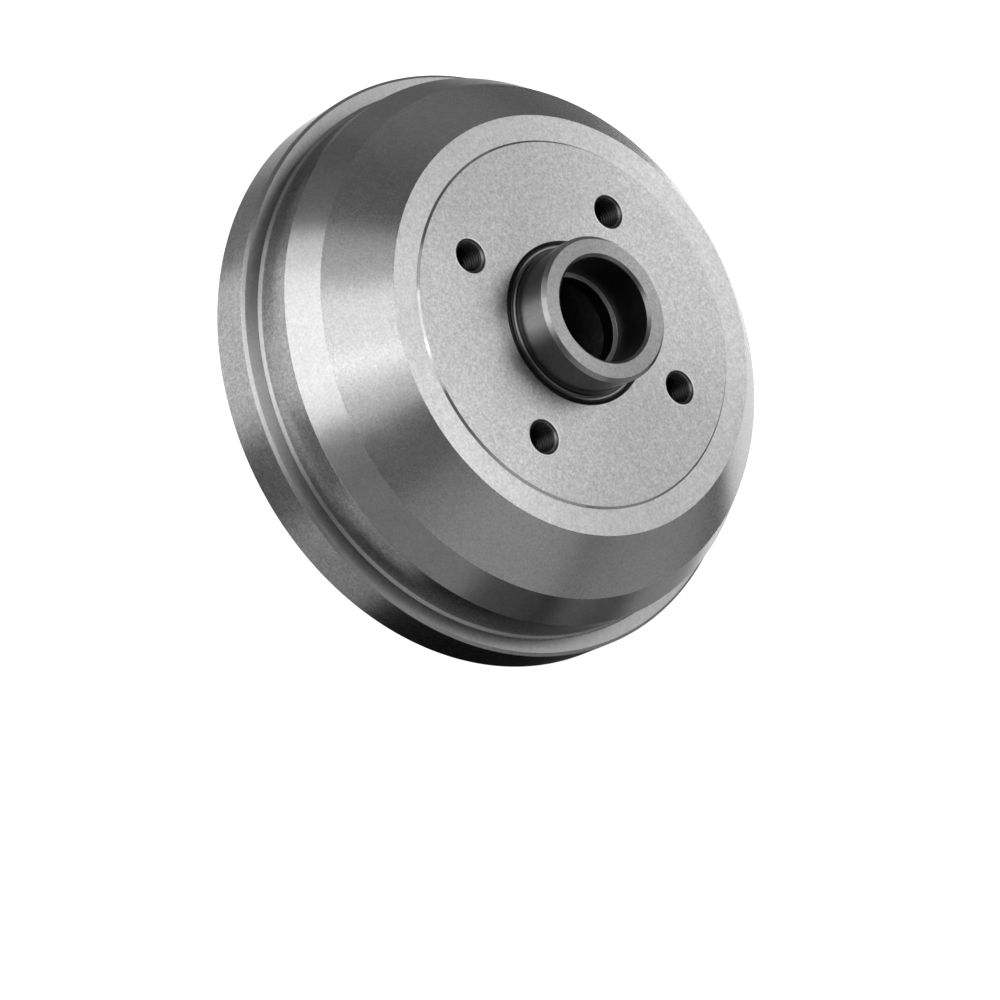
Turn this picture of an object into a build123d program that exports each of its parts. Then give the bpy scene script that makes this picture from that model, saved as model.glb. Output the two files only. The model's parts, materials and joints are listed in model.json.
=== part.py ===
from build123d import *
from math import hypot, radians, tan
import os

# Rear brake drum with the wheel hub cast in one piece with it.
# Millimetres. +Z runs along the wheel axis, out to the hub nose.
# The origin is the centre of the open rim's plane, which the drum rests on.
# Every height is measured from that plane.

os.makedirs("parts", exist_ok=True)

# ---- drum wall and rim -------------------------------------------------------
friction_diameter = 200.0  # bored surface that the shoes rub on
friction_width = 31.0
wall_thickness = 6.6
ledge_width = 7.4  # how far the stiffening band stands out from the wall
rim_height = 19.3  # the ledge on top of the band
rim_bottom_chamfer = 2.0
rim_top_chamfer = 1.1
wall_root_chamfer = 1.1  # iron left in the corner between the wall and the ledge
wall_rise = 16.3  # ledge to the wall's upper edge
lip_wall = 9.0  # iron left outside the recess for the backing plate's lip
lip_recess_depth = 6.0
lip_recess_chamfer = 1.0
friction_edge_chamfer = 0.8

# ---- cones and front plate ---------------------------------------------------
steep_cone_inset = 7.0
steep_cone_rise = 12.7
main_cone_inset = 18.85
main_cone_rise = 18.7
crown_width = 10.0  # flat ring between the main cone and the wheel seat's flank
plate_thickness = 11.6  # measured at the crown
cone_wall = 8.6  # iron behind the main cone, square to it
cone_root_chamfer = 5.0
back_step = 1.2  # the unworked wall past the friction surface stands in by this

# ---- wheel seat and hub nose -------------------------------------------------
seat_step = 0.8  # wheel seat above the crown, with a 45 degree flank
spigot_diameter = 56.0  # centres the wheel
spigot_length = 17.5  # wheel seat to the end of the hub nose
nose_chamfer = 1.4
spigot_collar = 0.35  # low collar at the spigot's foot stands out this far
spigot_collar_height = 0.85
spigot_collar_chamfer = 0.75  # iron left in the corner at the collar's foot
spigot_collar_land = 0.55  # between that chamfer and the run-out groove
spigot_relief_width = 0.9  # groove above the collar, clear of the wheel's edge
spigot_relief_depth = 0.4
run_out_width = 1.9  # groove where the facing tool runs out
run_out_depth = 1.1
run_out_inner_flank = 0.25  # how far the groove's inner flank leans out to its floor
run_out_floor_width = 0.3  # the outer flank takes the rest of the width

# ---- wheel bolt holes --------------------------------------------------------
bolt_circle_diameter = 100.0
bolt_count = 4
bolt_thread_diameter = 12.0  # M12 x 1.5, right through the front plate
bolt_thread_pitch = 1.5
bolt_mouth_clearance = 0.6  # countersink beyond the thread, on the radius
bolt_mouth_angle = 90.0
first_bolt_angle = 45.0

# ---- bearing hub, outside and bore -------------------------------------------
hub_end_height = 12.0  # the hub stops this far inside the open rim
hub_wall = 6.5  # iron round the grease seal
hub_end_chamfer = 1.5
hub_draft = 2.2  # degrees, wider towards the front plate
hub_root_round = 6.0
small_cup_diameter = 39.878  # outer taper-roller cup, pressed in from the nose
small_cup_seat = 18.9  # hub nose to the shoulder that stops the cup
small_cup_chamfer = 1.1
small_cup_shoulder = 2.0  # how far that shoulder stands in from the seat
small_cup_land = 6.0  # straight bore behind the shoulder
large_cup_diameter = 50.292  # inner taper-roller cup, pressed in from behind
large_cup_seat = 11.5
large_cup_shoulder = 2.9
large_cup_chamfer = 0.5
seal_step = 1.854  # the grease seal's bore beyond the large cup's, on the radius
seal_seat = 8.0
seal_chamfer = 0.8

# ---- radii that follow -------------------------------------------------------
friction_radius = friction_diameter / 2
back_radius = friction_radius - back_step
wall_radius = friction_radius + wall_thickness
rim_radius = wall_radius + ledge_width
lip_radius = rim_radius - lip_wall
shoulder_radius = wall_radius - steep_cone_inset
crown_radius = shoulder_radius - main_cone_inset
seat_foot_radius = crown_radius - crown_width
seat_radius = seat_foot_radius - seat_step
spigot_radius = spigot_diameter / 2
collar_radius = spigot_radius + spigot_collar
relief_radius = spigot_radius - spigot_relief_depth
run_out_inner = collar_radius + spigot_collar_chamfer + spigot_collar_land
run_out_outer = run_out_inner + run_out_width
floor_inner = run_out_inner + run_out_inner_flank
floor_outer = floor_inner + run_out_floor_width

# ---- heights that follow -----------------------------------------------------
friction_end = lip_recess_depth + friction_width
wall_height = rim_height + wall_rise
shoulder_height = wall_height + steep_cone_rise
crown_height = shoulder_height + main_cone_rise
plate_underside = crown_height - plate_thickness
seat_height = crown_height + seat_step
run_out_floor = seat_height - run_out_depth
collar_top = seat_height + spigot_collar_height
relief_top = collar_top + spigot_relief_width
nose_height = seat_height + spigot_length

# The inner cone runs parallel to the main cone, cone_wall inside it.
cone_slope = main_cone_inset / main_cone_rise
cone_offset = cone_wall * hypot(main_cone_inset, main_cone_rise) / main_cone_rise
inner_cone_foot = shoulder_radius - cone_offset
inner_cone_start = shoulder_height + (inner_cone_foot - back_radius) / cone_slope
inner_cone_top = inner_cone_foot - (plate_underside - shoulder_height) * cone_slope

# Bearing hub.
small_cup_radius = small_cup_diameter / 2
small_cup_stop = nose_height - small_cup_seat
small_land_radius = small_cup_radius - small_cup_shoulder
grease_cavity_top = small_cup_stop - small_cup_land
large_cup_radius = large_cup_diameter / 2
large_land_radius = large_cup_radius - large_cup_shoulder
seal_radius = large_cup_radius + seal_step
seal_stop = hub_end_height + seal_seat
large_cup_stop = seal_stop + large_cup_seat
hub_end_radius = seal_radius + hub_wall
hub_root_radius = hub_end_radius + (plate_underside - hub_end_height) * tan(radians(hub_draft))

# Wheel bolt holes.
bolt_core_radius = (bolt_thread_diameter - bolt_thread_pitch) / 2
bolt_mouth_radius = bolt_thread_diameter / 2 + bolt_mouth_clearance


def ring_edge(radius, height):
    """The drum's circular edge that lies nearest to a radius and a height."""
    circles = brake_drum.edges().filter_by(GeomType.CIRCLE)
    return circles.sort_by(lambda edge: hypot(edge.radius - radius, edge.arc_center.Z - height))[0]


with BuildPart() as brake_drum:
    # Outer form, turned as one solid blank about the wheel axis.
    with BuildSketch(Plane.XZ) as outer_section:
        with BuildLine():
            Polyline(
                (0, 0),
                (rim_radius, 0),
                (rim_radius, rim_height),
                (wall_radius, rim_height),
                (wall_radius, wall_height),
                (shoulder_radius, shoulder_height),
                (crown_radius, crown_height),
                (seat_foot_radius, crown_height),
                (seat_radius, seat_height),
                (run_out_outer, seat_height),
                (floor_outer, run_out_floor),
                (floor_inner, run_out_floor),
                (run_out_inner, seat_height),
                (collar_radius, seat_height),
                (collar_radius, collar_top),
                (relief_radius, collar_top),
                (relief_radius, relief_top),
                (spigot_radius, relief_top),
                (spigot_radius, nose_height),
                (0, nose_height),
                close=True,
            )
        make_face()
    revolve(axis=Axis.Z)

    # Hollow behind the front plate, with its wall parallel to the outer cone.
    with BuildSketch(Plane.XZ) as hollow_section:
        with BuildLine():
            Polyline(
                (0, 0),
                (back_radius, 0),
                (back_radius, inner_cone_start),
                (inner_cone_top, plate_underside),
                (0, plate_underside),
                close=True,
            )
        make_face()
    revolve(axis=Axis.Z, mode=Mode.SUBTRACT)
    chamfer(ring_edge(inner_cone_top, plate_underside), length=cone_root_chamfer)

    # Bored friction surface, and the wider recess in front of it.
    with BuildSketch(Plane.XY) as friction_bore:
        Circle(friction_radius)
    extrude(amount=friction_end, mode=Mode.SUBTRACT)
    with BuildSketch(Plane.XY) as lip_recess:
        Circle(lip_radius)
    extrude(amount=lip_recess_depth, mode=Mode.SUBTRACT)

    # Bearing hub, standing back from the front plate into the hollow.
    with BuildSketch(Plane.XZ) as hub_section:
        with BuildLine():
            Polyline(
                (0, hub_end_height),
                (hub_end_radius, hub_end_height),
                (hub_root_radius, plate_underside),
                (0, plate_underside),
                close=True,
            )
        make_face()
    revolve(axis=Axis.Z)
    fillet(ring_edge(hub_root_radius, plate_underside), radius=hub_root_round)

    # Stepped bore: seal seat, large cup seat, grease cavity, land and small cup seat.
    with BuildSketch(Plane.XZ) as bore_section:
        with BuildLine():
            Polyline(
                (0, hub_end_height),
                (seal_radius, hub_end_height),
                (seal_radius, seal_stop),
                (large_cup_radius, seal_stop),
                (large_cup_radius, large_cup_stop),
                (large_land_radius, large_cup_stop),
                (small_land_radius, grease_cavity_top),
                (small_land_radius, small_cup_stop),
                (small_cup_radius, small_cup_stop),
                (small_cup_radius, nose_height),
                (0, nose_height),
                close=True,
            )
        make_face()
    revolve(axis=Axis.Z, mode=Mode.SUBTRACT)

    # Tapped holes for the wheel bolts, countersunk at the wheel seat.
    with Locations(Plane.XY.offset(seat_height)):
        with PolarLocations(bolt_circle_diameter / 2, bolt_count, start_angle=first_bolt_angle):
            CounterSinkHole(
                radius=bolt_core_radius,
                counter_sink_radius=bolt_mouth_radius,
                depth=seat_height - plate_underside,
                counter_sink_angle=bolt_mouth_angle,
            )

    # Inner corners outside, where the wall meets the band and the collar meets the wheel seat.
    chamfer(ring_edge(wall_radius, rim_height), length=wall_root_chamfer)
    chamfer(ring_edge(collar_radius, seat_height), length=spigot_collar_chamfer)

    # Broken edges and lead-ins.
    chamfer(ring_edge(rim_radius, 0), length=rim_bottom_chamfer)
    chamfer(ring_edge(rim_radius, rim_height), length=rim_top_chamfer)
    chamfer(ring_edge(spigot_radius, nose_height), length=nose_chamfer)
    chamfer(ring_edge(small_cup_radius, nose_height), length=small_cup_chamfer)
    chamfer(ring_edge(lip_radius, 0), length=lip_recess_chamfer)
    chamfer(ring_edge(friction_radius, lip_recess_depth), length=friction_edge_chamfer)
    chamfer(ring_edge(hub_end_radius, hub_end_height), length=hub_end_chamfer)
    chamfer(ring_edge(seal_radius, hub_end_height), length=seal_chamfer)
    chamfer(ring_edge(large_cup_radius, seal_stop), length=large_cup_chamfer)

brake_drum.part.label = "brake_drum"
export_step(brake_drum.part, "parts/brake_drum.step")
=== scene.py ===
import json
import math

import bpy
import numpy as np
from mathutils import Matrix, Vector


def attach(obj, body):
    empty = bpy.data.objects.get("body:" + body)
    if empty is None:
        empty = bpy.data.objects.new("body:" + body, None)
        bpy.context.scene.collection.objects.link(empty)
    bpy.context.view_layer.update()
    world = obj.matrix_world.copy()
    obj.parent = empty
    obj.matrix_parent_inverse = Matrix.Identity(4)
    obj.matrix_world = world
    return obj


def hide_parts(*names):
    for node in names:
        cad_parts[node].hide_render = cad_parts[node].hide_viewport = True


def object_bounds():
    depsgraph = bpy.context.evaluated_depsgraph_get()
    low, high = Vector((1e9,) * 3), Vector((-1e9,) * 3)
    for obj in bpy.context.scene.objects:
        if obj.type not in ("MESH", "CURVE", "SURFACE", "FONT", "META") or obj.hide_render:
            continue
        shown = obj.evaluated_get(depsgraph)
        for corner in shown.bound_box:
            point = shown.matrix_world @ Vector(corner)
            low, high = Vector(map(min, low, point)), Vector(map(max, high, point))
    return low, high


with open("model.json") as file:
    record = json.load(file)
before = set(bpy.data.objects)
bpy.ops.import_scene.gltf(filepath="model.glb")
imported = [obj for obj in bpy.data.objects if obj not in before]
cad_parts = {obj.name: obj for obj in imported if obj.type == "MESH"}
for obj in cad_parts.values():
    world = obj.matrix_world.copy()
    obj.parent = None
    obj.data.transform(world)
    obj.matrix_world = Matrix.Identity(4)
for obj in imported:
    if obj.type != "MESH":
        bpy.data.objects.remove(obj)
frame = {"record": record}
cadLow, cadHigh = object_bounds()
print("frame loaded")

mm = 0.001

# The drum stands on its open rim, so every height counts from there, up to the hub nose.
rimRadius = cadHigh.x / mm
noseHeight = cadHigh.z / mm
fits = {mount["name"]: mount["dims"] for mount in frame["record"]["mounts"]}

# All in millimetres. An Edge or Corner is the small round that a tool or the mould leaves there.
drum = {
    "rimHeight": 19.3,
    "rimBottomChamfer": 2.0,
    "rimTopChamfer": 1.1,
    "wallRadius": 106.6,
    "wallFootChamfer": 1.1,
    "wallTop": 35.6,
    "shoulderRadius": 99.6,
    "shoulderHeight": 48.3,
    "crownRadius": 80.75,
    "crownHeight": 67.0,
    "plateThickness": 11.6,
    "coneWall": 8.6,  # square to the cone
    "coneRootChamfer": 5.0,
    "seatFootRadius": 70.75,
    "seatStep": 0.8,
    "spigotRadius": fits["wheel_spigot"]["r_mm"],
    "collarReach": 0.35,  # out from the spigot
    "collarHeight": 0.85,
    "collarCove": 0.75,
    "collarLand": 0.55,
    "grooveWidth": 1.9,
    "grooveDepth": 1.1,
    "grooveInnerLean": 0.25,
    "grooveFloorWidth": 0.3,
    "reliefDepth": 0.4,
    "reliefWidth": 0.9,
    "noseChamfer": 1.4,
    "smallCupRadius": fits["small_cup_seat"]["r_mm"],
    "smallCupSeat": 18.9,
    "smallCupShoulder": 2.0,
    "smallCupLand": 6.0,
    "smallCupChamfer": 1.1,
    "hubEnd": 12.0,
    "hubWall": 6.5,
    "hubEndChamfer": 1.5,
    "hubDraft": 2.2,  # degrees
    "hubRootCove": 6.0,
    "sealRadius": fits["seal_seat"]["r_mm"],
    "sealSeat": 8.0,
    "sealChamfer": 0.8,
    "largeCupRadius": fits["large_cup_seat"]["r_mm"],
    "largeCupSeat": 11.5,
    "largeCupShoulder": 2.9,
    "largeCupChamfer": 0.5,
    "frictionRadius": 100.0,
    "frictionTop": 37.0,
    "frictionChamfer": 0.8,
    "lipRadius": 105.0,
    "lipDepth": 6.0,
    "lipChamfer": 1.0,
    "turnedEdge": 0.22,
    "softEdge": 0.45,
    "castEdge": 1.0,
    "crownEdge": 0.12,
    "seatEdge": 0.1,
    "grooveEdge": 0.15,
    "grooveFloorCorners": (0.5, 0.2),  # outer, inner
    "collarEdge": 0.06,
    "reliefEdge": 0.08,
    "boredCorner": 0.3,
    "sealCorner": 0.2,
    "lipCorner": 0.4,
    "turns": 360,
    "arcSteps": 2,
    "coveSteps": 8,
    "coveFrom": 0.6,  # rounds wider than this get the coves' steps
}
seatHeight = drum["crownHeight"] + drum["seatStep"]
plateUnderside = drum["crownHeight"] - drum["plateThickness"]
coneLean = math.atan2(drum["shoulderRadius"] - drum["crownRadius"],
                      drum["crownHeight"] - drum["shoulderHeight"])  # from the axis

# In millimetres and degrees.
hole = {
    "circleRadius": fits["wheel_bolts"]["pcd_mm"] / 2,
    "firstAngle": 45.0,
    "count": fits["wheel_bolts"]["count"],
    "coreRadius": fits["wheel_bolts"]["hole_r_mm"],
    "rootRadius": 6.0,
    "mouthRadius": 6.6,
    "burnished": 0.5,  # width of the bright ring round the mouth, a painted highlight
    "mouthRoll": (0.02, 0.03),  # how far the mouth's edge rolls out and down
    "mouthDepth": 0.65,
    "firstTurnDepth": 1.3,
    "firstRowDepth": 0.1,
    "pitch": 1.5,
    "crestWidth": 0.45,
    "flankAngle": 60.0,  # from the axis
    "rowsPerPitch": 12,
    "patchInner": 42.0,  # the block of the flat faces that the rings round a hole take up
    "patchOuter": 58.0,
    "patchRows": 10,
    "patchHalfTurns": 10,
    "rings": (0.12, 0.35, 0.65),  # shares of the way out to the block's edge
}

# Each run of the section was cut, or left as cast, in its own way. The finish, then how its grey, its grain
# and its roughness stand against that finish. The greys are matched to the brightness each run shows, and on
# some runs they are painted light or shade, marked below.
runs = {
    "rim": ("turned", 1.03, 2.4, 0.85),
    "ledge": ("turned", 1.0, 0.9, 1.0),
    "wall": ("turned", 0.98, 2.6, 0.85),
    "steepCone": ("turned", 1.0, 1.0, 0.85),
    "cone": ("turned", 1.05, 1.1, 0.8),
    "crown": ("turned", 1.06, 1.5, 1.0),
    # painted highlight: the seat's flank is lightened into a bright line
    "seatFlank": ("turned", 1.15, 0.5, 0.5),
    "seat": ("turned", 0.93, 2.0, 1.0),
    # painted shade: the groove round the spigot, the collar's corner at the spigot's foot and the relief
    # groove above it are real recesses, and their low greys add painted shade in them
    "groove": ("turned", 0.2, 1.0, 1.0),
    "collar": ("turned", 0.5, 1.0, 1.0),
    "relief": ("turned", 0.25, 1.0, 1.0),
    "spigot": ("turned", 0.8, 1.0, 0.6),
    "noseEdge": ("turned", 0.78, 1.0, 0.85),
    "nose": ("turned", 0.60, 1.6, 1.0),
    "lip": ("turned", 0.9, 1.6, 1.0),
    # painted shade down the bearing bore's cup seat, and a painted highlight on the cup stop deep in the
    # bore
    "cupSeat": ("bored", 0.25, 1.0, 1.0),
    "cupEdge": ("turned", 0.55, 1.0, 1.0),
    "cupStop": ("turned", 1.6, 1.0, 1.8),
    "friction": ("bored", 1.0, 1.0, 1.0),
    "bearingBore": ("bored", 0.9, 1.0, 1.0),
    "skin": ("cast", 1.0, 1.0, 1.0),
    # painted highlight on the ring round each bolt hole's mouth and on the thread's first turn; painted
    # shade in the countersink and down the thread
    "mouthEdge": ("turned", 1.15, 0.5, 1.0),
    "mouth": ("tapped", 0.5, 1.0, 1.0),
    "firstTurn": ("tapped", 1.1, 1.0, 1.0),
    "thread": ("tapped", 0.42, 1.0, 1.0),
}
runNames = list(runs)


def innerCone(height):
    # Radius of the hollow's cone, parallel to the outer one: the outer cone's radius at this
    # height, less coneWall / cos(coneLean).
    outer = drum["shoulderRadius"] - (height - drum["shoulderHeight"]) * math.tan(coneLean)
    return outer - drum["coneWall"] / math.cos(coneLean)


def drumOutline():
    # The section's corners in order round the iron, each with the round of its edge, and the name
    # of the run that follows it. Iron lies on the left as the outline is walked.
    d, nose = drum, noseHeight
    turned, soft, cast, relief = d["turnedEdge"], d["softEdge"], d["castEdge"], d["reliefEdge"]
    bored, skin = "bearingBore", "skin"
    rings = np.linspace(hole["patchInner"], hole["patchOuter"], hole["patchRows"] + 1)

    collarRadius = d["spigotRadius"] + d["collarReach"]
    collarTop = seatHeight + d["collarHeight"]
    reliefRadius = d["spigotRadius"] - d["reliefDepth"]
    reliefTop = collarTop + d["reliefWidth"]
    grooveInner = collarRadius + d["collarCove"] + d["collarLand"]
    grooveFloor = seatHeight - d["grooveDepth"]
    floorInner = grooveInner + d["grooveInnerLean"]
    floorOuter = floorInner + d["grooveFloorWidth"]

    smallCupStop = noseHeight - d["smallCupSeat"]
    smallLandRadius = d["smallCupRadius"] - d["smallCupShoulder"]
    largeLandRadius = d["largeCupRadius"] - d["largeCupShoulder"]
    sealStop = d["hubEnd"] + d["sealSeat"]
    largeCupStop = sealStop + d["largeCupSeat"]
    hubEndRadius = d["sealRadius"] + d["hubWall"]
    draft = math.tan(math.radians(d["hubDraft"]))
    hubRootRadius = hubEndRadius + (plateUnderside - d["hubEnd"]) * draft

    coneRootFoot = plateUnderside - d["coneRootChamfer"] * math.cos(coneLean)
    return [
        (d["lipRadius"] + d["lipChamfer"], 0.0, turned, "rim"),
        (rimRadius - d["rimBottomChamfer"], 0.0, turned, "rim"),
        (rimRadius, d["rimBottomChamfer"], turned, "rim"),
        (rimRadius, d["rimHeight"] - d["rimTopChamfer"], turned, "ledge"),
        (rimRadius - d["rimTopChamfer"], d["rimHeight"], turned, "ledge"),
        (d["wallRadius"] + d["wallFootChamfer"], d["rimHeight"], soft, "ledge"),
        (d["wallRadius"], d["rimHeight"] + d["wallFootChamfer"], soft, "wall"),
        (d["wallRadius"], d["wallTop"], soft, "steepCone"),
        (d["shoulderRadius"], d["shoulderHeight"], soft, "cone"),
        (d["crownRadius"], d["crownHeight"], d["crownEdge"], "crown"),
        (d["seatFootRadius"], d["crownHeight"], d["seatEdge"], "seatFlank"),
        (d["seatFootRadius"] - d["seatStep"], seatHeight, d["seatEdge"], "seat"),
        *[(ring, seatHeight, 0.0, "seat") for ring in rings[::-1]],
        (grooveInner + d["grooveWidth"], seatHeight, d["grooveEdge"], "groove"),
        (floorOuter, grooveFloor, d["grooveFloorCorners"][0], "groove"),
        (floorInner, grooveFloor, d["grooveFloorCorners"][1], "groove"),
        (grooveInner, seatHeight, d["collarEdge"], "collar"),
        (collarRadius, seatHeight, d["collarCove"], "collar"),
        (collarRadius, collarTop, relief, "relief"),
        (reliefRadius, collarTop, relief, "relief"),
        (reliefRadius, reliefTop, relief, "relief"),
        (d["spigotRadius"], reliefTop, relief, "spigot"),
        (d["spigotRadius"], nose - d["noseChamfer"], turned, "noseEdge"),
        (d["spigotRadius"] - d["noseChamfer"], nose, turned, "nose"),
        (d["smallCupRadius"] + d["smallCupChamfer"], nose, turned, "cupEdge"),
        (d["smallCupRadius"], nose - d["smallCupChamfer"], turned, "cupSeat"),
        (d["smallCupRadius"], smallCupStop, d["boredCorner"], "cupStop"),
        (smallLandRadius, smallCupStop, turned, "cupSeat"),
        (smallLandRadius, smallCupStop - d["smallCupLand"], soft, skin),
        (largeLandRadius, largeCupStop, turned, bored),
        (d["largeCupRadius"], largeCupStop, d["boredCorner"], bored),
        (d["largeCupRadius"], sealStop + d["largeCupChamfer"], turned, bored),
        (d["largeCupRadius"] + d["largeCupChamfer"], sealStop, turned, bored),
        (d["sealRadius"], sealStop, d["sealCorner"], bored),
        (d["sealRadius"], d["hubEnd"] + d["sealChamfer"], turned, bored),
        (d["sealRadius"] + d["sealChamfer"], d["hubEnd"], turned, bored),
        (hubEndRadius - d["hubEndChamfer"], d["hubEnd"], turned, bored),
        (hubEndRadius + d["hubEndChamfer"] * draft, d["hubEnd"] + d["hubEndChamfer"], soft, skin),
        (hubRootRadius, plateUnderside, d["hubRootCove"], skin),
        *[(ring, plateUnderside, 0.0, skin) for ring in rings],
        (innerCone(plateUnderside) - d["coneRootChamfer"], plateUnderside, cast, skin),
        (innerCone(coneRootFoot), coneRootFoot, cast, skin),
        (innerCone(d["frictionTop"]), d["frictionTop"], turned, "friction"),
        (d["frictionRadius"], d["frictionTop"], d["boredCorner"], "friction"),
        (d["frictionRadius"], d["lipDepth"] + d["frictionChamfer"], turned, "friction"),
        (d["frictionRadius"] + d["frictionChamfer"], d["lipDepth"], turned, "lip"),
        (d["lipRadius"], d["lipDepth"], d["lipCorner"], "lip"),
        (d["lipRadius"], d["lipChamfer"], turned, "lip"),
    ]


def roundedOutline(corners):
    # Each corner becomes the arc of its radius that touches the runs on both sides of it:
    # the arc's centre lies on the corner's bisector, radius / sin(half angle) away.
    # A corner without a radius is one point on a straight run. Normals come from the arcs.
    spot = np.array([corner[:2] for corner in corners])
    before, after = np.roll(spot, 1, axis=0) - spot, np.roll(spot, -1, axis=0) - spot
    before /= np.linalg.norm(before, axis=1, keepdims=True)
    after /= np.linalg.norm(after, axis=1, keepdims=True)
    half = np.arccos(np.clip((before * after).sum(axis=1), -1, 1)) / 2
    convex = (before[:, 0] * after[:, 1] - before[:, 1] * after[:, 0]) < 0
    points, normals, run = [], [], []
    for k, (_, _, size, name) in enumerate(corners):
        here, last = runNames.index(name), runNames.index(corners[k - 1][3])
        if size == 0:
            points.append(spot[k:k + 1])
            normals.append(np.array([[after[k, 1], -after[k, 0]]]))
            run.append([here])
            continue
        steps = drum["coveSteps"] if size > drum["coveFrom"] else drum["arcSteps"]
        bend = 1 if convex[k] else -1
        bisector = (before[k] + after[k]) / np.linalg.norm(before[k] + after[k])
        centre = spot[k] + bisector * size / math.sin(half[k])
        arm = before[k] * size / math.tan(half[k]) + spot[k] - centre
        angle = np.linspace(0, (math.pi - 2 * half[k]) * bend, steps + 1)
        swung = np.stack([arm[0] * np.cos(angle) - arm[1] * np.sin(angle),
                          arm[0] * np.sin(angle) + arm[1] * np.cos(angle)], axis=1)
        points.append(centre + swung)
        normals.append(swung / size * bend)
        run.append([last] * (steps // 2) + [here] * (steps - steps // 2 + 1))
    return np.concatenate(points), np.concatenate(normals), np.concatenate(run)


def threadRadius(turn, height):
    # Radius of a cut thread: distance from the nearest crest's middle, measured along the axis,
    # times the flank's slope, held between the core and the root.
    phase = (height / hole["pitch"] - turn / (2 * math.pi)) % 1.0
    fromCrest = np.abs(phase - 0.5) * hole["pitch"]
    rise = (fromCrest - hole["crestWidth"] / 2) * math.tan(math.radians(hole["flankAngle"]))
    return np.clip(hole["coreRadius"] + rise, hole["coreRadius"], hole["rootRadius"])


def swept(section, ring):
    # Section (r, z) carried round the axis: x = r cos a, y = r sin a, one grid row per point.
    upright = np.repeat(section[:, None, 1:], len(ring), axis=1)
    return np.concatenate([section[:, None, :1] * ring, upright], axis=2)


def makeDrumMesh():
    # The section swept round the axis on one closed grid. Round each bolt hole a block of the
    # grid is left out on both flat faces; rings that grow from the hole's circle to the block's
    # edge take its place, and the threaded wall joins them.
    section, facing, run = roundedOutline(drumOutline())
    rows, turns = len(section), drum["turns"]
    turn = np.arange(turns) * 2 * math.pi / turns
    ring = np.stack([np.cos(turn), np.sin(turn)], axis=1)
    index = np.arange(rows * turns).reshape(rows, turns)
    above, beside = np.roll(index, -1, axis=0), np.roll(index, -1, axis=1)
    quads = np.stack([index, beside, np.roll(above, -1, axis=1), above], axis=2)
    faceRun = np.repeat(run[:, None], turns, axis=1)
    keep = np.ones((rows, turns), bool)

    level = 0.99  # a flat face's normal has at least this much of z
    patchTop = np.flatnonzero((facing[:, 1] > level) & onRings(section, seatHeight))
    patchFoot = np.flatnonzero((facing[:, 1] < -level) & onRings(section, plateUnderside))
    points, normals = [swept(section, ring).reshape(-1, 3)], [swept(facing, ring).reshape(-1, 3)]
    faces, faceRuns = [], []
    count = rows * turns
    half = hole["patchHalfTurns"]
    for k in range(hole["count"]):
        middle = round((hole["firstAngle"] + 360 * k / hole["count"]) * turns / 360)
        columns = np.arange(middle - half, middle + half + 1) % turns
        keep[np.ix_(patchTop[:-1], columns[:-1])] = False
        keep[np.ix_(patchFoot[:-1], columns[:-1])] = False
        edgeTop = blockEdge(index, patchTop[::-1], columns)
        edgeFoot = blockEdge(index, patchFoot, columns)
        centre = hole["circleRadius"] * ring[middle % turns]
        edge = points[0][edgeTop]
        spoke = np.arctan2(edge[:, 1] - centre[1], edge[:, 0] - centre[0])
        wall, rowRun = holeWall(centre, spoke, edge[:, :2])
        wallIndex = count + np.arange(wall.shape[0] * wall.shape[1]).reshape(wall.shape[:2])
        loops = np.concatenate([edgeTop[None], wallIndex, edgeFoot[None]])
        nextLoops = np.roll(loops, -1, axis=1)
        corners = np.stack([loops[:-1], loops[1:], nextLoops[1:], nextLoops[:-1]], axis=2)
        faces.append(corners.reshape(-1, 4))
        faceRuns.append(np.repeat(rowRun, loops.shape[1]))
        points.append(wall.reshape(-1, 3))
        normals.append(np.zeros((wallIndex.size, 3)))  # left for Blender to smooth
        count += wallIndex.size
    faces.insert(0, quads[keep])
    faceRuns.insert(0, faceRun[keep])
    return (np.concatenate(points), np.concatenate(normals),
            np.concatenate(faces), np.concatenate(faceRuns))


def onRings(section, height):
    # True for the section's points that are the patch rings at this height.
    slack = 1e-6
    level = np.abs(section[:, 1] - height) < slack
    inside = section[:, 0] < hole["patchOuter"] + slack
    return level & inside & (section[:, 0] > hole["patchInner"] - slack)


def blockEdge(index, rowOrder, columns):
    # Once round a block of the grid: out along the inner ring, up, back along the outer, down.
    inner, outer = rowOrder[0], rowOrder[-1]
    return np.concatenate([index[inner, columns[:-1]], index[rowOrder[:-1], columns[-1]],
                           index[outer, columns[:0:-1]], index[rowOrder[:0:-1], columns[0]]])


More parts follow.
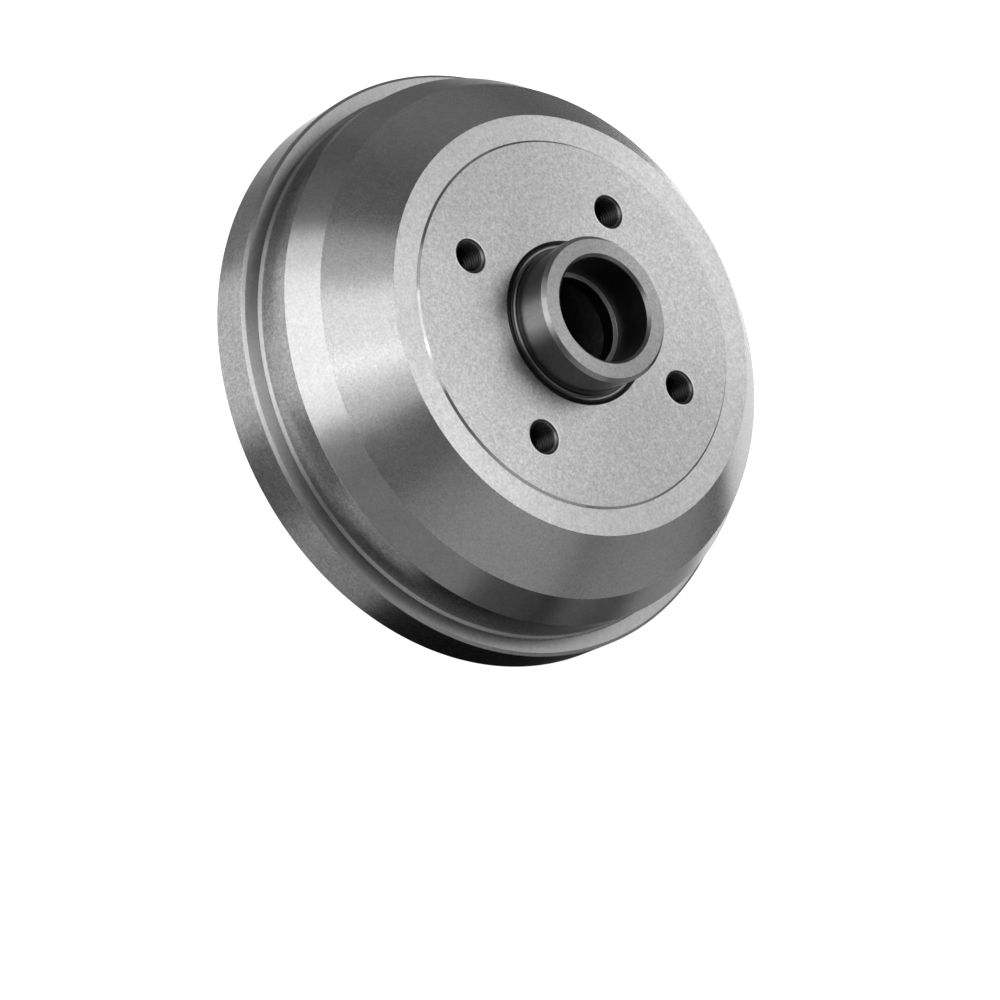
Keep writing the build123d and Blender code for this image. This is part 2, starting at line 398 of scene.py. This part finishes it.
def holeWall(centre, spoke, edge):
    # One row per height: rings on the seat, the mouth's broken edge, the countersink and the
    # thread in one run (the wider of the two at each height), then rings on the underside.
    mouth, (rollOut, rollDown) = hole["mouthRadius"], hole["mouthRoll"]
    steps = round((seatHeight - plateUnderside) / hole["pitch"] * hole["rowsPerPitch"])
    height = np.linspace(seatHeight - hole["firstRowDepth"], plateUnderside, steps)[:, None]
    depth = seatHeight - height
    bore = np.maximum(threadRadius(spoke[None, :], height), mouth - depth)
    arms = np.stack([np.cos(spoke), np.sin(spoke)], axis=1)
    lip = np.array([mouth + hole["burnished"], mouth + rollOut])[:, None] * np.ones_like(bore[:1])
    radius = np.concatenate([lip, bore])
    reach = np.hypot(*(edge - centre).T)
    share = np.array(hole["rings"])[:, None]
    topRings = radius[:1] + (reach - radius[:1]) * share[::-1]
    footRings = radius[-1:] + (reach - radius[-1:]) * share
    radius = np.concatenate([topRings, radius, footRings])
    top, foot = np.full((len(share), 1), seatHeight), np.full((len(share), 1), plateUnderside)
    level = np.concatenate([top, [[seatHeight], [seatHeight - rollDown]], height, foot])
    flat = centre + radius[:, :, None] * arms
    upright = np.broadcast_to(level[:, :, None], (*radius.shape, 1))
    # The rows' runs paint light and shade into the hole: a painted highlight on the ring round the mouth and
    # on the thread's first turn, painted shade in the countersink and down the thread.
    bands = np.select([depth[:, 0] < hole["mouthDepth"], depth[:, 0] < hole["firstTurnDepth"]],
                      ["mouth", "firstTurn"], "thread")
    rows = ["seat"] * (len(share) + 1) + ["mouthEdge", *bands] + ["skin"] * (len(share) + 1)
    return np.concatenate([flat, upright], axis=2), np.array([runNames.index(row) for row in rows])


def putInScene(name, points, normals, faces, faceRuns):
    used, renumbered = np.unique(faces, return_inverse=True)
    faces = renumbered.reshape(-1, 4)
    mesh = bpy.data.meshes.new(name)
    mesh.vertices.add(len(used))
    mesh.vertices.foreach_set("co", (points[used] * mm).astype(np.float32).ravel())
    mesh.loops.add(faces.size)
    mesh.loops.foreach_set("vertex_index", faces.astype(np.int32).ravel())
    mesh.polygons.add(len(faces))
    mesh.polygons.foreach_set("loop_start", np.arange(0, faces.size, 4, dtype=np.int32))
    perRun = np.array([(list(finishes).index(run[0]), *run[1:]) for run in runs.values()])
    finish, *shares = perRun[faceRuns].T
    mesh.polygons.foreach_set("material_index", finish.astype(np.int32))
    mesh.polygons.foreach_set("use_smooth", np.ones(len(faces), bool))
    for look in finishes:
        mesh.materials.append(ironFinish(look + "_iron", finishes[look]))
    # tone carries each run's grey, painted light and shade included
    for key, share in zip(("tone", "grain", "polish"), shares):
        mesh.attributes.new(key, "FLOAT", "FACE").data.foreach_set("value", share.astype(np.float32))
    mesh.update(calc_edges=True)
    mesh.normals_split_custom_set_from_vertices(normals[used].astype(np.float32))
    piece = bpy.data.objects.new(name, mesh)
    bpy.context.scene.collection.objects.link(piece)
    return piece


# Sizes in millimetres. ringPitch is the spacing of the tool's rings where they show.
finishes = {
    "turned": {
        "grey": 0.56, "metallic": 1.0, "roughness": 0.34, "roughnessSpread": 0.02, "anisotropy": 0.4,
        "grainSize": 0.9, "grainContrast": 0.10, "mottleSize": 2.6, "mottleContrast": 0.04,
        "cloudSize": 30, "cloudContrast": 0.04, "bumpHeight": 0.005, "ringPitch": 0,
    },
    "bored": {
        "grey": 0.44, "metallic": 1.0, "roughness": 0.36, "roughnessSpread": 0.04, "anisotropy": 0.5,
        "grainSize": 0.7, "grainContrast": 0.12, "mottleSize": 3.0, "mottleContrast": 0.06,
        "cloudSize": 25, "cloudContrast": 0.06, "bumpHeight": 0.006, "ringPitch": 0.35,
    },
    "cast": {
        "grey": 0.24, "metallic": 0.6, "roughness": 0.62, "roughnessSpread": 0.16, "anisotropy": 0.0,
        "grainSize": 1.3, "grainContrast": 0.22, "mottleSize": 4.5, "mottleContrast": 0.16,
        "cloudSize": 20, "cloudContrast": 0.12, "bumpHeight": 0.12, "ringPitch": 0,
    },
    "tapped": {
        "grey": 0.28, "metallic": 1.0, "roughness": 0.40, "roughnessSpread": 0.10, "anisotropy": 0.0,
        "grainSize": 0.6, "grainContrast": 0.15, "mottleSize": 2.0, "mottleContrast": 0.10,
        "cloudSize": 10, "cloudContrast": 0.05, "bumpHeight": 0.004, "ringPitch": 0,
    },
}
noiseMiddle, noiseSwing = 0.5, 0.4  # where the noise centres, and how far its patches lie apart
ringShare = 0.35  # the tool's rings, as a share of bumpHeight


def newFinish(name):
    finish = bpy.data.materials.new(name)
    finish.use_nodes = True
    nodes, links = finish.node_tree.nodes, finish.node_tree.links
    return finish, nodes, links, nodes["Principled BSDF"]


def node(nodes, kind, x=0, y=0, **settings):
    made = nodes.new(kind)
    made.location = (x, y)
    for key, value in settings.items():
        if key in made.inputs:
            made.inputs[key].default_value = value
        else:
            setattr(made, key, value)
    return made


def mathNode(nodes, links, operation, first, second, x=0, y=0):
    made = node(nodes, "ShaderNodeMath", x, y, operation=operation)
    for socket, value in zip(made.inputs, (first, second)):
        if isinstance(value, (int, float)):
            socket.default_value = value
        else:
            links.new(value, socket)
    return made.outputs[0]


def ironFinish(name, look):
    # Iron: the run's own grey, which on some runs is painted light or shade, times a sandy grain, a broader
    # mottle and faint clouds. The tool's marks run round the axis, so reflections spread across them.
    finish, nodes, links, shader = newFinish(name)
    place = node(nodes, "ShaderNodeTexCoord", -1400, 0).outputs["Object"]
    runToneAndPaintedLight, runGrain, runPolish = [
        node(nodes, "ShaderNodeAttribute", -1100, y, attribute_name=key).outputs["Fac"]
        for key, y in (("tone", -700), ("grain", 600), ("polish", -900))]

    def noise(size, y):
        made = node(nodes, "ShaderNodeTexNoise", -1100, y, Scale=1 / (size * mm), Detail=2.0, Roughness=0.55)
        links.new(place, made.inputs["Vector"])
        return made.outputs["Fac"]

    def swing(value, low, high, y, coarse=None):
        # low to high as the noise goes from its dark patches to its light ones
        part = mathNode(nodes, links, "SUBTRACT", value, noiseMiddle, -900, y)
        part = mathNode(nodes, links, "MULTIPLY", part, (high - low) / noiseSwing, -750, y)
        if coarse:
            part = mathNode(nodes, links, "MULTIPLY", part, coarse, -600, y)
        return mathNode(nodes, links, "ADD", part, (low + high) / 2, -450, y)

    grain = noise(look["grainSize"], 300)
    mottle = noise(look["mottleSize"], 0)
    cloud = noise(look["cloudSize"], -300)
    fine, broad, faint = look["grainContrast"], look["mottleContrast"], look["cloudContrast"]
    tone = mathNode(nodes, links, "MULTIPLY", swing(grain, 1 - fine, 1 + fine, 300, runGrain),
                    swing(mottle, 1 - broad, 1 + broad, 0, runGrain), -300, 150)
    tone = mathNode(nodes, links, "MULTIPLY", tone, swing(cloud, 1 - faint, 1 + faint, -300), -150, 0)
    tone = mathNode(nodes, links, "MULTIPLY", tone, runToneAndPaintedLight, 0, -100)
    tone = mathNode(nodes, links, "MULTIPLY", tone, look["grey"], 150, -100)
    grey = node(nodes, "ShaderNodeCombineColor", 300, -100)
    for socket in grey.inputs:
        links.new(tone, socket)
    links.new(grey.outputs[0], shader.inputs["Base Color"])
    half = look["roughnessSpread"] / 2
    rough = swing(mottle, look["roughness"] - half, look["roughness"] + half, -500)
    rough = mathNode(nodes, links, "MULTIPLY", rough, runPolish, -150, -500)
    links.new(rough, shader.inputs["Roughness"])
    relief = grain
    if look["ringPitch"]:
        # rings round the bore: sin(2 pi z / ringPitch) on top of the grain
        anglePerMetre = 2 * math.pi / (look["ringPitch"] * mm)
        split = node(nodes, "ShaderNodeSeparateXYZ", -900, 900)
        links.new(place, split.inputs[0])
        wave = mathNode(nodes, links, "MULTIPLY", split.outputs["Z"], anglePerMetre, -700, 900)
        wave = mathNode(nodes, links, "SINE", wave, 0.0, -550, 900)
        wave = mathNode(nodes, links, "MULTIPLY", wave, ringShare, -400, 900)
        relief = mathNode(nodes, links, "ADD", grain, wave, -150, 700)
    bump = node(nodes, "ShaderNodeBump", 0, 500, Strength=1.0, Distance=look["bumpHeight"] * mm)
    links.new(relief, bump.inputs["Height"])
    links.new(bump.outputs["Normal"], shader.inputs["Normal"])
    if look["anisotropy"]:
        around = node(nodes, "ShaderNodeTangent", 0, -500, direction_type="RADIAL", axis="Z")
        links.new(around.outputs[0], shader.inputs["Tangent"])
        shader.inputs["Anisotropic"].default_value = look["anisotropy"]
        shader.inputs["Anisotropic Rotation"].default_value = 0.25  # a quarter turn, across the marks
    shader.inputs["Metallic"].default_value = look["metallic"]
    return finish


drumPoints, drumNormals, drumFaces, drumRuns = makeDrumMesh()
drumPiece = putInScene("drum_casting", drumPoints, drumNormals, drumFaces, drumRuns)
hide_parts("brake_drum")
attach(drumPiece, "root")
print("drum made:", len(drumFaces), "quads")

stage = {
    "floorHalf": 6.0,  # metres
    "floorGrey": 0.8,
    "floorGlow": 0.95,
    "padRadius": 104.5 * mm,
    "padLift": 2 * mm,
    "padSides": 64,
    "padGrey": 0.01,
    "mattRoughness": 0.9,
}


def addStagePiece(name, corners, finishName, grey):
    # One flat, matt face.
    mesh = bpy.data.meshes.new(name)
    mesh.from_pydata(corners, [], [tuple(range(len(corners)))])
    piece = bpy.data.objects.new(name, mesh)
    bpy.context.scene.collection.objects.link(piece)
    finish, _, _, shader = newFinish(finishName)
    shader.inputs["Base Color"].default_value = (grey, grey, grey, 1)
    shader.inputs["Roughness"].default_value = stage["mattRoughness"]
    mesh.materials.append(finish)
    return piece, shader


def makeStage():
    # A white sweep that only the camera sees, and a black pad that closes the open rim from below: a dark
    # sheet of painted shade in the drum's hollow, which shows down the bore and keeps the lamps below the
    # floor out of the hollow.
    half, sides = stage["floorHalf"], stage["padSides"]
    square = [(-half, -half, 0), (half, -half, 0), (half, half, 0), (-half, half, 0)]
    floor, shader = addStagePiece("floor", square, "white_sweep", stage["floorGrey"])
    shader.inputs["Emission Color"].default_value = (1, 1, 1, 1)
    shader.inputs["Emission Strength"].default_value = stage["floorGlow"]
    floor.visible_glossy = False
    floor.visible_diffuse = False
    floor.visible_shadow = False
    around = np.arange(sides) * 2 * math.pi / sides
    circle = np.stack([np.cos(around), np.sin(around), np.ones(sides)], axis=1)
    circle *= (stage["padRadius"], stage["padRadius"], stage["padLift"])
    pad, _ = addStagePiece("pad", circle.tolist(), "black_pad", stage["padGrey"])
    world = bpy.data.worlds.new("studio")
    world.use_nodes = True
    world.node_tree.nodes["Background"].inputs["Color"].default_value = (1, 1, 1, 1)
    bpy.context.scene.world = world
    # Past the sweep's edge the camera sees white, but nothing is lit by it.
    world.cycles_visibility.diffuse = False
    world.cycles_visibility.glossy = False


# Soft panels round the drum: azimuth and elevation, width and height as seen from it, all in
# degrees, and the brightness of the panel's face.
lamps = {
    "overhead": (90, 72, 26, 26, 2.0),
    "backHigh": (95, 50, 26, 26, 0.9),
    "back": (100, 25, 30, 26, 1.4),
    "backMid": (100, 0, 26, 26, 3.0),
    "backLow": (85, -28, 30, 26, 1.1),
    "bounceBack": (108, -51, 24, 24, 1.4),
    "bounceLeft": (136, -51, 28, 24, 0.53),
    "leftLow": (134, -28, 62, 26, 0.15),
    "leftMid": (158, -1, 82, 26, 0.2),
    "leftHigh": (173, 25, 50, 26, 0.12),
    "keySideHigh": (213, 30, 22, 20, 0.55),
    "keySideMid": (211, 6, 14, 24, 1.0),
    "keyTop": (240, 52, 28, 24, 1.2),
    "keyHigh": (238, 31, 26, 24, 1.15),
    "keyEnd": (262, 34, 22, 24, 0.9),
    "keyMid": (244, 6, 52, 24, 1.75),
    "keyMidEnd": (280, 6, 18, 24, 0.22),
    "keyLow": (235, -22, 58, 26, 2.0),
    "bounceMid": (185, -51, 24, 24, 0.18),
    "bounceFront": (229, -51, 38, 24, 0.7),
    "fillNear": (296, 32, 26, 24, 0.17),
    "fillHigh": (341, 27, 60, 24, 0.43),
    "fillMid": (316, 2, 50, 26, 0.27),
    "fillFar": (349, -2, 32, 26, 0.07),
    "fillLow": (285, -25, 30, 26, 0.8),
    "bounceRight": (316, -52, 26, 24, 0.37),
    "sideMid": (37, 3, 50, 30, 0.32),
    "sideLow": (55, -30, 30, 26, 0.32),
}
lampDistance = 1.5
lampAim = (0, 0, 45 * mm)  # about halfway up the drum


def makeLamps():
    for name, (azimuth, elevation, wide, tall, brightness) in lamps.items():
        a, e = math.radians(azimuth), math.radians(elevation)
        way = Vector((math.cos(a) * math.cos(e), math.sin(a) * math.cos(e), math.sin(e)))
        width, height = [2 * lampDistance * math.tan(math.radians(angle) / 2) for angle in (wide, tall)]
        light = bpy.data.lights.new(name, "AREA")
        light.shape = "RECTANGLE"
        light.size, light.size_y = width, height
        light.energy = brightness * math.pi * width * height  # watts that give the face this brightness
        lamp = bpy.data.objects.new(name, light)
        lamp.location = Vector(lampAim) + way * lampDistance
        lamp.rotation_mode = "QUATERNION"
        lamp.rotation_quaternion = way.to_track_quat("Z", "Y")
        bpy.context.scene.collection.objects.link(lamp)


camera = {
    "place": (96.6 * mm, -988.2 * mm, 1176.8 * mm),
    "aim": (49.9 * mm, -42.6 * mm, 40.0 * mm),
    "roll": -65.74,  # degrees
    "lens": 145.965,
    "sensor": 36.0,
    "clip": (0.05, 50),
}


def makeCamera():
    data = bpy.data.cameras.new("camera")
    data.lens, data.sensor_width = camera["lens"], camera["sensor"]
    data.clip_start, data.clip_end = camera["clip"]
    place, aim = Vector(camera["place"]), Vector(camera["aim"])
    forward = (aim - place).normalized()
    level = forward.cross(Vector((0, 0, 1))).normalized()
    upright = level.cross(forward)
    roll = math.radians(camera["roll"])
    up = math.cos(roll) * upright + math.sin(roll) * level
    right = forward.cross(up)
    body = bpy.data.objects.new("camera", data)
    turned = Matrix((right, up, -forward)).transposed().to_4x4()
    body.matrix_world = Matrix.Translation(place) @ turned
    bpy.context.scene.collection.objects.link(body)
    bpy.context.scene.camera = body


makeStage()
makeLamps()
makeCamera()
bpy.context.scene.view_settings.view_transform = "Standard"
print("stage, lamps and camera set")
